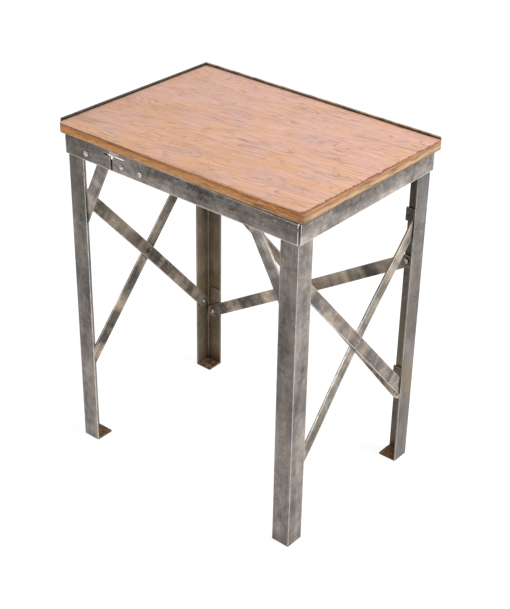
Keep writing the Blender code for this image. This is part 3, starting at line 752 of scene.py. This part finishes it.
def build_strips():
    """Steel strips on the back and left edges of the board, slightly wavy."""
    for name, (along, shade, wear) in STRIPS.items():
        low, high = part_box(name)
        across = Y if along == X else X
        section = strip_section(low[across], high[across], low.z, high.z)
        steps = round((high[along] - low[along]) / STRIP_STEP)
        rings = []
        for step in range(steps + 1):
            ring = []
            for thick, up in section:
                point = Vector((0, 0, up))
                point[along] = low[along] + (high[along] - low[along]) * step / steps
                point[across] = thick
                point.z += STRIP_WAVE * ripple(point, STRIP_WAVES_PER_METRE, STRIP_SEED)
                ring.append(out_of_square(point))
            rings.append(ring)
        piece = new_object(f"worn_{name}", skin(rings), strip_steel(name, high.z, shade, wear))
        add_to_table(piece, "dark_strip_steel", name)


def rivet_profile(length, radius, two_heads):
    """Radius of a rivet's rings and their places along it, from its tail to the crown of its head."""
    seat = length / 2 - RIVET_HEAD_HEIGHT
    rim = RIVET_HEAD_HEIGHT * RIVET_RIM_SHARE
    head = [(RIVET_SHANK_RADIUS, seat), (radius, seat)]
    for step in range(RIVET_RINGS):
        angle = math.pi / 2 * step / RIVET_RINGS
        up = rim + (RIVET_HEAD_HEIGHT - rim) * math.sin(angle)
        head.append((radius * math.cos(angle), seat + up))
    if two_heads:
        return [(wide, -up) for wide, up in reversed(head)] + head
    return [(RIVET_SHANK_RADIUS, -length / 2)] + head


def build_rivet(name, material):
    """One rivet with a round hammered head in place of its plain node. Splice rivets have two heads."""
    low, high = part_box(name)
    ahead = Vector(by_word(RIVET_DIRECTIONS, name))
    side = Vector((0, 0, 1))
    third = ahead.cross(side)
    centre = (low + high) / 2
    length = abs((high - low).dot(ahead))
    seat = length / 2 - RIVET_HEAD_HEIGHT
    splice = name.startswith("splice")
    rings = []
    for wide, up in rivet_profile(length, (high.z - low.z) / 2, splice):
        dents = RIVET_DENTS * RIVET_HEAD_HEIGHT if abs(up) > seat else 0.0
        ring = []
        for step in range(RIVET_SEGMENTS):
            angle = 2 * math.pi * step / RIVET_SEGMENTS
            point = centre + (side * math.cos(angle) + third * math.sin(angle)) * wide
            dent = dents * abs(noise.noise((point + ahead * up) * RIVET_DENTS_PER_METRE))
            ring.append(point + ahead * (up - math.copysign(dent, up)))
        rings.append(ring)
    rivet = new_object(f"hammered_{name}", skin(rings), material, smooth=True)
    add_to_table(rivet, "bright_steel" if splice else "worn_steel", name)


def build_rivets():
    """All the rivets, bright in the splice and dark where bars cross."""
    finishes = {word: rivet_steel(*finish) for word, finish in RIVET_FINISHES.items()}
    for name in nodes:
        if "rivet" in name:
            build_rivet(name, by_word(finishes, name))


def main_axes(node):
    """Directions of a CAD node from its longest to its thinnest."""
    points = np.array([vertex.co for vertex in nodes[node].data.vertices])
    return [Vector(row) for row in np.linalg.svd(points - points.mean(0), full_matrices=False)[2]]


def grain(graph):
    """Places along the grain of the top: straight ones, and ones whose lines wander."""
    angle = math.radians(GRAIN_ANGLE)
    straight = graph.turned((math.cos(angle), math.sin(angle), 0))
    bends = graph.noise(straight, scale=GRAIN_BENDS, detail=2)
    drift = graph.span(bends, 0.0, 1.0, -GRAIN_WANDER, GRAIN_WANDER)
    sideways = graph.node("ShaderNodeCombineXYZ", {"Y": drift}).outputs[0]
    return straight, graph.vector("ADD", straight, sideways)


def year_rings(graph, place):
    """How dark the lines of the year rings are, which show only in places."""
    figure = graph.noise(place, scale=(2.6, 15, 10), detail=2, roughness=0.5)
    rings = graph.math("FRACT", graph.math("MULTIPLY", figure, YEAR_RINGS))
    lines = graph.span(rings, 0.0, RING_LINE, 1.0, 0.0)
    shown = graph.span(graph.noise(place, scale=(9, 40, 10), detail=3), 0.40, 0.60, 0.1, 0.85)
    return graph.product(lines, shown)


def veneer(graph):
    """Colour of the worn top, and the fibres and dents that its bump follows."""
    straight, place = grain(graph)
    clouds = graph.noise(straight, scale=14, detail=3, roughness=0.6)
    width = graph.axis(graph.place, Y)
    towards_front = graph.span(width, BOARD_HIGH.y, BOARD_LOW.y, -TAN_TOWARDS_FRONT, TAN_TOWARDS_FRONT)
    tan = graph.math("ADD", clouds, towards_front)
    colour = graph.coat(VENEER_PINK, VENEER_TAN, tan, start=0.43, full=0.62)
    greyed = graph.noise(place, scale=(13, 46, 10), detail=4, roughness=0.65)
    colour = graph.coat(colour, VENEER_GREY, greyed, start=0.51, full=0.68, most=0.75)
    stains = graph.noise(place, scale=(22, 44, 10), detail=3, roughness=0.55)
    colour = graph.coat(colour, VENEER_STAIN, stains, start=0.58, full=0.72, most=0.70)
    colour = graph.mix(year_rings(graph, place), colour, VENEER_FIBRE)
    fibres = graph.noise(place, scale=(15, 400, 40), detail=3, roughness=0.6, distortion=0.25)
    colour = graph.coat(colour, VENEER_FIBRE, fibres, start=0.46, full=0.28, most=0.50)
    colour = graph.coat(colour, VENEER_PALE, fibres, start=0.52, full=0.68, most=0.60)
    spots = graph.noise(straight, scale=(60, 115, 90), detail=3, roughness=0.6)
    colour = graph.coat(colour, VENEER_SPOT, spots, start=0.66, full=0.77, most=0.65)
    dents = graph.noise(place, scale=(60, 330, 90), detail=2, roughness=0.5)
    colour = graph.coat(colour, VENEER_DENT, dents, start=0.64, full=0.76, most=0.70)
    slanted = graph.turned(SCRATCH_DIRECTION, SCRATCH_OFFSET)
    scratches = graph.noise(slanted, scale=(34, 420, 90), detail=1)
    colour = graph.coat(colour, VENEER_DENT, scratches, start=0.71, full=0.79, most=0.60)
    return colour, fibres, dents


def towards_ends(graph):
    """Above 0 on the ends of the board, and below 0 on its long edges."""
    along, across = (graph.math("ABSOLUTE", graph.axis(graph.normal, index)) for index in (X, Y))
    return graph.math("SUBTRACT", along, across)


def ply_colour(graph, depth, plies):
    """Colour of the ply at a depth below the board's top."""
    layer = graph.math("DIVIDE", depth, BOARD_THICKNESS)
    return graph.ramp(layer, [(mm * MM / BOARD_THICKNESS, colour) for mm, colour in plies])


def long_edge(graph, depth, waved):
    """Colour of the long edges: plies that rise to the right, with red and yellow flecks below the rim."""
    length = graph.axis(graph.place, X)
    rise = graph.span(length, BOARD_LOW.x, BOARD_HIGH.x, 0.0, PLY_RISE)
    colour = ply_colour(graph, graph.math("ADD", waved, rise), FRONT_PLIES)
    flecks = graph.noise(graph.place, scale=(75, 75, 620), detail=3, roughness=0.6)
    below_rim = graph.span(depth, *FLECK_DEPTHS, 0.0, 0.8)
    colour = graph.coat(colour, PLY_RED, flecks, start=0.48, full=0.40, where=below_rim)
    return graph.coat(colour, PLY_YELLOW, flecks, start=0.53, full=0.61, where=below_rim)


def dark_rim(graph, depth, on_end, wobble):
    """How dark the edge is just below the veneer."""
    upper = graph.span(depth, *RIM_DEPTHS, 0.0, 0.90)
    patches = graph.span(wobble, 0.34, 0.52, 0.4, 1.0)
    along = graph.span(graph.axis(graph.place, X), 0.0, BOARD_HIGH.x, 1.0, RIM_AT_RIGHT)
    return graph.product(upper, patches, graph.math("MAXIMUM", on_end, along))


def corner_and_left_end_darkening(graph):
    """How dark the edge is near the front right corner, with painted shade on faces towards the left end."""
    from_front = graph.math("SUBTRACT", graph.axis(graph.place, Y), BOARD_LOW.y)
    from_right = graph.math("SUBTRACT", BOARD_HIGH.x, graph.axis(graph.place, X))
    near = [graph.span(distance, *CORNER_DISTANCES) for distance in (from_front, from_right)]
    left_end_shade = graph.span(graph.axis(graph.normal, X), -0.30, -0.80, 0.0, 0.85)
    return graph.math("ADD", graph.product(*near, 0.35), left_end_shade)


def bare_plies(graph, depth, facing):
    """Colour of the plies on the board's edges, and the torn fibres that its bump follows."""
    wobble = graph.noise(graph.place, scale=(42, 42, 130), detail=5, roughness=0.70)
    waved = graph.math("ADD", depth, graph.span(wobble, 0.2, 0.8, -PLY_WOBBLE, PLY_WOBBLE))
    on_end = graph.span(facing, -0.55, 0.0)
    colour = graph.mix(on_end, long_edge(graph, depth, waved), ply_colour(graph, waved, END_PLIES))
    worn = graph.noise(graph.place, scale=(24, 24, 380), detail=3, roughness=0.6)
    pale = graph.mix(on_end, PLY_PALE, END_PALE)
    colour = graph.coat(colour, pale, worn, start=0.54, full=0.66, most=0.60)
    torn = graph.noise(graph.place, scale=(28, 28, 430), detail=4, roughness=0.65)
    split = graph.total([(torn, 1.0), (on_end, 0.02)])
    colour = graph.coat(colour, PLY_GLUE, split, start=0.54, full=0.66, most=0.85)
    colour = graph.mix(dark_rim(graph, depth, on_end, wobble), colour, END_RIM)
    colour = graph.mix(corner_and_left_end_darkening(graph), colour, END_RIM)
    # Painted shadow: a dark line along the underside of the edges, in the crevice over the aprons
    height = graph.math("SUBTRACT", BOARD_THICKNESS, depth)
    from_middle = graph.math("ABSOLUTE", graph.axis(graph.place, X))
    shown = graph.span(from_middle, *SHADOW_LINE_DISTANCES, 0.25, 1.0)
    colour = graph.coat(colour, PLY_GLUE, height, *SHADOW_LINE_HEIGHTS, most=0.9, where=shown)
    return colour, torn


def veneer_reach(graph, facing):
    """Depth down to which veneer covers the worn edge."""
    length = graph.axis(graph.place, X)
    least = WRAP_ENDS / WRAP_RIGHT
    reach = graph.span(length, BOARD_LOW.x + WRAP_RISE, 0.0, WRAP_LEFT, WRAP_RIGHT)
    on_ends = graph.span(facing, 0.05, 0.20, 1.0, least)
    from_right = graph.math("SUBTRACT", BOARD_HIGH.x, length)
    return graph.product(reach, on_ends, graph.span(from_right, *WRAP_FALL, 1.0, least))


def plywood():
    """Worn oiled plywood: pinkish veneer with fine grain along its length, and bare plies on the edges."""
    graph = Graph("plywood")
    depth = graph.math("SUBTRACT", BOARD_TOP, graph.axis(graph.place, Z))
    top, fibres, dents = veneer(graph)
    facing = towards_ends(graph)
    edge, torn = bare_plies(graph, depth, facing)
    ragged = graph.varied(graph.noise(graph.place, scale=170, detail=4, roughness=0.6), -RAGGED, RAGGED)
    ragged = graph.product(ragged, graph.span(depth, 0.0, RAGGED_BELOW))
    bared = graph.math("SUBTRACT", graph.math("ADD", depth, ragged), veneer_reach(graph, facing))
    colour = graph.coat(top, edge, bared, start=0.0, full=BARED_OVER)
    upward = graph.axis(graph.flat_normal, Z)
    colour = graph.coat(colour, graph.tinted(top, VENEER_BELOW), upward, start=-0.85, full=-0.95)
    height = graph.total([(fibres, 0.6), (dents, -0.5), (torn, 0.5)])
    return graph.finish(colour, graph.varied(fibres, 0.50, 0.66), height, bump=0.0005)


def torn_wood():
    """Pale raw wood of the splinter, greyed by handling."""
    graph = Graph("torn_wood")
    fibres = graph.noise(graph.place, scale=(160, 160, 500), detail=3)
    colour = graph.ramp(fibres, [(0.38, SPLINTER_GREEN), (0.50, SPLINTER_PINK), (0.62, SPLINTER_PALE)])
    return graph.finish(colour, graph.varied(fibres, 0.55, 0.70), fibres, bump=0.0006)


def strip_steel(name, top, shade, wear):
    """Dark brown strip, pale along its upper edge: bare worn steel and a painted highlight."""
    graph = Graph(name)
    patches = graph.noise(graph.place, scale=60, detail=4)
    colour = graph.ramp(patches, [(0.38, shaded(STRIP_DARK, shade)), (0.66, shaded(STRIP_BROWN, shade))])
    rubbed = graph.span(graph.noise(graph.place, scale=30, detail=4), 0.34, 0.54, 0.2, 0.9)
    below_top = graph.math("SUBTRACT", top, graph.axis(graph.place, Z))
    colour = graph.coat(colour, STRIP_EDGE, below_top, *STRIP_BARE, most=wear, where=rubbed)
    pits = graph.noise(graph.place, scale=300, detail=3)
    return graph.finish(colour, graph.varied(patches, 0.42, 0.60), pits, bump=0.0003, metallic=0.4 * wear)


def long_shade(graph, name):
    """Painted light and shade along a piece's length: bars on all faces, other pieces on their front faces.
    """
    low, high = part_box(name)
    along = max(range(3), key=lambda index: high[index] - low[index])
    position = graph.span(graph.axis(graph.place, along), low[along], high[along])
    shades = LONG_SHADES[name]
    # The ramp holds half of each shade, so that its colours stay between 0 and 1
    stops = [(step / (len(shades) - 1), (shade / 2,) * 3) for step, shade in enumerate(shades)]
    front = 1.0 if "brace" in name else graph.span(graph.axis(graph.flat_normal, Y), -0.4, -0.6)
    half_shade = graph.mix(front, (0.5, 0.5, 0.5), graph.ramp(position, stops))
    return graph.math("MULTIPLY", half_shade, 2.0)


def narrow_faces(graph, thin):
    """1 on the narrow faces of a flat bar, and 0 on its broad ones."""
    broad = graph.math("ABSOLUTE", graph.vector("DOT_PRODUCT", graph.flat_normal, thin, output="Value"))
    return graph.span(broad, 0.6, 0.4)


def steel_light(graph, name, place, thin, marks):
    """How light the steel is from place to place: clouds and marks all over, light bands across bars that
    are painted reflections, painted light and shade on the narrow faces of bars and at the aprons' tops, and
    the slow changes along single pieces, partly painted light and shade."""
    uneven = by_word(UNEVEN, name)
    bands = by_word(BANDS, name)
    clouds = graph.noise(place, scale=(8, 30, 30), detail=3, roughness=0.5)
    value = graph.total(zip((clouds, *marks), MARK_SHARES))
    # Painted reflections: soft light and dark bands across the piece
    reflection_sweep = graph.noise(place, scale=(26, 6, 6), detail=1, roughness=0.4, distortion=0.4)
    factors = [
        graph.span(value, 0.39, 0.61, 1 - CLOUDS_DARKEN * uneven, 1 + CLOUDS_LIGHTEN * uneven),
        graph.span(reflection_sweep, 0.38, 0.64, 1 - BANDS_DARKEN * bands, 1 + BANDS_LIGHTEN * bands),
    ]
    if name in LONG_SHADES:
        factors.append(long_shade(graph, name))
    if "brace" in name:
        # Painted light and shade on the narrow faces of bars
        factors.append(graph.span(narrow_faces(graph, thin), 0.0, 1.0, 1.0, by_word(NARROW, name)))
    # Painted shade under the board on the aprons
    if "apron" in name:
        low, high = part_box(name)
        height = graph.axis(graph.place, Z)
        factors.append(graph.span(height, high.z, low.z, APRON_TOP_SHADE, APRON_BOTTOM_SHADE))
    return graph.product(*factors)


def scuffed(graph, name, place):
    """How far light scuffs cover the steel, in some places."""
    scuffs = graph.noise(place, scale=(150, 230, 230), detail=4, roughness=0.7)
    patches = graph.noise(place, scale=28, detail=2)
    rubbed = graph.span(patches, 0.46, 0.62, 0.0, by_word(UNEVEN, name))
    return graph.product(graph.span(scuffs, 0.52, 0.66, 0.0, 0.5), rubbed)


def aged(graph, colour, place, stain, inner, patina):
    """Colour with a blue tint in clouds, most on the outer faces, and with brown patina in stains."""
    tint = graph.noise(place, scale=(14, 50, 50), detail=3)
    outer = graph.span(inner, 0.0, 1.0, 1.0 - patina, 0.15)
    colour = graph.coat(colour, STEEL_BLUE, tint, start=0.50, full=0.68, most=0.45, where=outer)
    start = 0.58 - 0.2 * patina
    return graph.coat(colour, STEEL_BROWN, stain, start, full=start + 0.20, most=0.25 + 0.5 * patina)


def heated(graph, name, stain):
    """How far heat has coloured a back leg, by the distance from its lower tab."""
    low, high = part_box(name.replace("leg", "lower_tab"))
    from_tab = graph.math("SUBTRACT", graph.axis(graph.place, Z), (low.z + high.z) / 2)
    near = graph.span(graph.math("ABSOLUTE", from_tab), *HEAT_DISTANCES)
    return graph.product(near, graph.span(stain, 0.36, 0.54, 0.20, 0.80))


def climbing_rust(graph, blotches, inner):
    """How far rust covers a leg: most near the floor and in its hollow."""
    climbed = graph.span(graph.axis(graph.place, Z), *RUST_HEIGHTS)
    patches = graph.span(blotches, 0.40, 0.58)
    return graph.product(climbed, patches, graph.span(inner, 0.0, 1.0, 0.25, 0.85))


def worn_and_highlit_edges(graph, name, place):
    """1 on bright edges: worn steel with a painted highlight, strongest on one side, and dimmed as painted
    shade near other pieces.
    """
    rounded, lean = graph.edges(by_word(EDGE_REACH, name))
    side = graph.vector("DOT_PRODUCT", rounded, HIGHLIGHT_SIDE, output="Value")
    rubbed = graph.product(graph.span(lean, 0.02, 0.10), graph.span(side, 0.05, 0.55, OTHER_EDGES, 1.0))
    patches = graph.span(graph.noise(place, scale=60, detail=3), 0.32, 0.50, 0.5, 1.0)
    open_air = graph.span(graph.sheltered(EDGE_SHADE_REACH), 0.25, 0.65, 1.0, by_word(CLOSE_EDGES, name))
    worn = graph.product(rubbed, patches, open_air, by_word(EDGES, name))
    if name.startswith("front_apron"):
        _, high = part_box(name)
        from_cut = graph.math("SUBTRACT", graph.axis(graph.place, Z), high.z - SAW_CUT_DROP)
        dull = graph.span(graph.math("ABSOLUTE", from_cut), *SAW_CUT_DISTANCES, SAW_CUT_EDGES, 1.0)
        worn = graph.product(worn, dull)
    return worn


def inner_faces(graph, name):
    """1 on the inner faces of a piece, and 0 on its outer ones."""
    if name.endswith("_leg") or "apron" in name:
        return graph.hollow(*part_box(name))
    return graph.inside()


def steel(name, offset):
    """Bare rolled steel: soft clouds, fine brushing along the piece, light bands across it that are painted
    reflections, scuffs, brown patina, dirt and painted shade in sheltered places, and bright worn edges with
    painted highlights."""
    graph = Graph(name)
    along, _, thin = main_axes(name)
    place = graph.turned(along, offset)
    blotches = graph.noise(place, scale=75, detail=4, roughness=0.55)
    specks = graph.noise(place, scale=420, detail=2, roughness=0.6)
    brushed = graph.noise(place, scale=(14, 400, 400), detail=3, roughness=0.6)
    stain = graph.noise(place, scale=(12, 52, 52), detail=4, roughness=0.6, distortion=0.6)
    outside, inside, patina = by_word(STEELS, name)
    shade = SHADES.get(name, 1.0)
    inner = inner_faces(graph, name)
    colour = graph.mix(inner, shaded(outside, shade), shaded(inside, shade))
    colour = graph.tinted(colour, steel_light(graph, name, place, thin, (blotches, specks, brushed)))
    colour = graph.mix(scuffed(graph, name, place), colour, STEEL_SCUFF)
    colour = aged(graph, colour, place, stain, inner, patina)
    if name in ("back_left_leg", "back_right_leg"):
        colour = graph.mix(heated(graph, name, stain), colour, STEEL_OLIVE)
    if name.endswith("_leg"):
        colour = graph.mix(climbing_rust(graph, blotches, inner), colour, RUST_MID)
    # Painted shade and dirt where other surfaces stand close
    colour = graph.coat(colour, STEEL_DIRT_AND_SHADE, graph.sheltered(DIRT_AND_SHADE_REACH), start=0.35, full=0.90, most=0.80)
    # Bright edges: worn steel with a painted highlight, dimmed as painted shade near other pieces
    worn = worn_and_highlit_edges(graph, name, place)
    colour = graph.mix(worn, colour, STEEL_EDGE_AND_HIGHLIGHT)
    dull = graph.span(graph.total([(blotches, 0.5), (specks, 0.5)]), 0.35, 0.65, 0.40, 0.58)
    roughness = graph.total([(dull, 1.0), (worn, -0.20)])
    metallic = graph.span(worn, 0.0, 1.0, 0.45, 0.97)
    height = graph.total([(brushed, 0.5), (specks, 0.3), (blotches, 0.2)])
    return graph.finish(colour, roughness, height, bump=0.00014, metallic=metallic)


def rusty_steel(name, offset):
    """Rusted plate at the floor."""
    graph = Graph(name)
    patches = graph.noise(graph.turned((1, 0, 0), offset), scale=110, detail=5, roughness=0.65)
    shade = SHADES.get(name, 1.0)
    colour = graph.ramp(patches, [(position, shaded(rust, shade)) for position, rust in RUST_STOPS])
    # Painted shade and dirt where other surfaces stand close
    colour = graph.coat(colour, STEEL_DIRT_AND_SHADE, graph.sheltered(DIRT_AND_SHADE_REACH), start=0.3, full=0.9, most=0.6)
    return graph.finish(colour, graph.varied(patches, 0.55, 0.80), patches, bump=0.0006, metallic=0.2)


def rivet_steel(name, crown, smoothest):
    """Rivet head rubbed bright on its crown, with dark dents that are also painted dark reflections, and
    dirt and painted shade round its rim.
    """
    graph = Graph(name)
    marks = graph.noise(graph.place, scale=210, detail=3, roughness=0.6)
    colour = graph.ramp(marks, [(0.42, shaded(crown, RIVET_DENT_SHADE)), (0.56, crown)])
    # Painted shade and dirt round the rim, where the head meets the steel below
    rim = graph.sheltered(RIVET_DIRT_AND_SHADE_REACH)
    colour = graph.coat(colour, STEEL_DIRT_AND_SHADE, rim, start=0.35, full=0.80, most=0.9)
    roughness = graph.varied(marks, smoothest + RIVET_DULLING, smoothest)
    return graph.finish(colour, roughness, marks, bump=0.0004, metallic=0.92)


def screw_steel():
    """Plain dark screws under the board and in the strips."""
    graph = Graph("screw_steel")
    marks = graph.noise(graph.place, scale=300, detail=3)
    colour = graph.ramp(marks, [(0.35, STRIP_BROWN), (0.65, STEEL_OUTSIDE)])
    return graph.finish(colour, graph.varied(marks, 0.35, 0.55), marks, bump=0.0003, metallic=0.8)


def paint_nodes():
    """Gives every CAD node that stays its own finish."""
    screws = screw_steel()
    for number, (name, node) in enumerate(nodes.items(), start=1):
        if name == "top_board" or name in STRIPS or "rivet" in name:
            continue
        if "screw" in name:
            material = screws
        elif name.endswith("foot_plate"):
            material = rusty_steel(name, NOISE_STEP * number)
        else:
            material = steel(name, NOISE_STEP * number)
        node.data.materials.clear()
        node.data.materials.append(material)


bpy.context.scene.view_settings.view_transform = "Standard"
build_camera()
build_world()
build_lamps()
build_floor()
build_board()
build_splinter()
build_strips()
build_rivets()
paint_nodes()
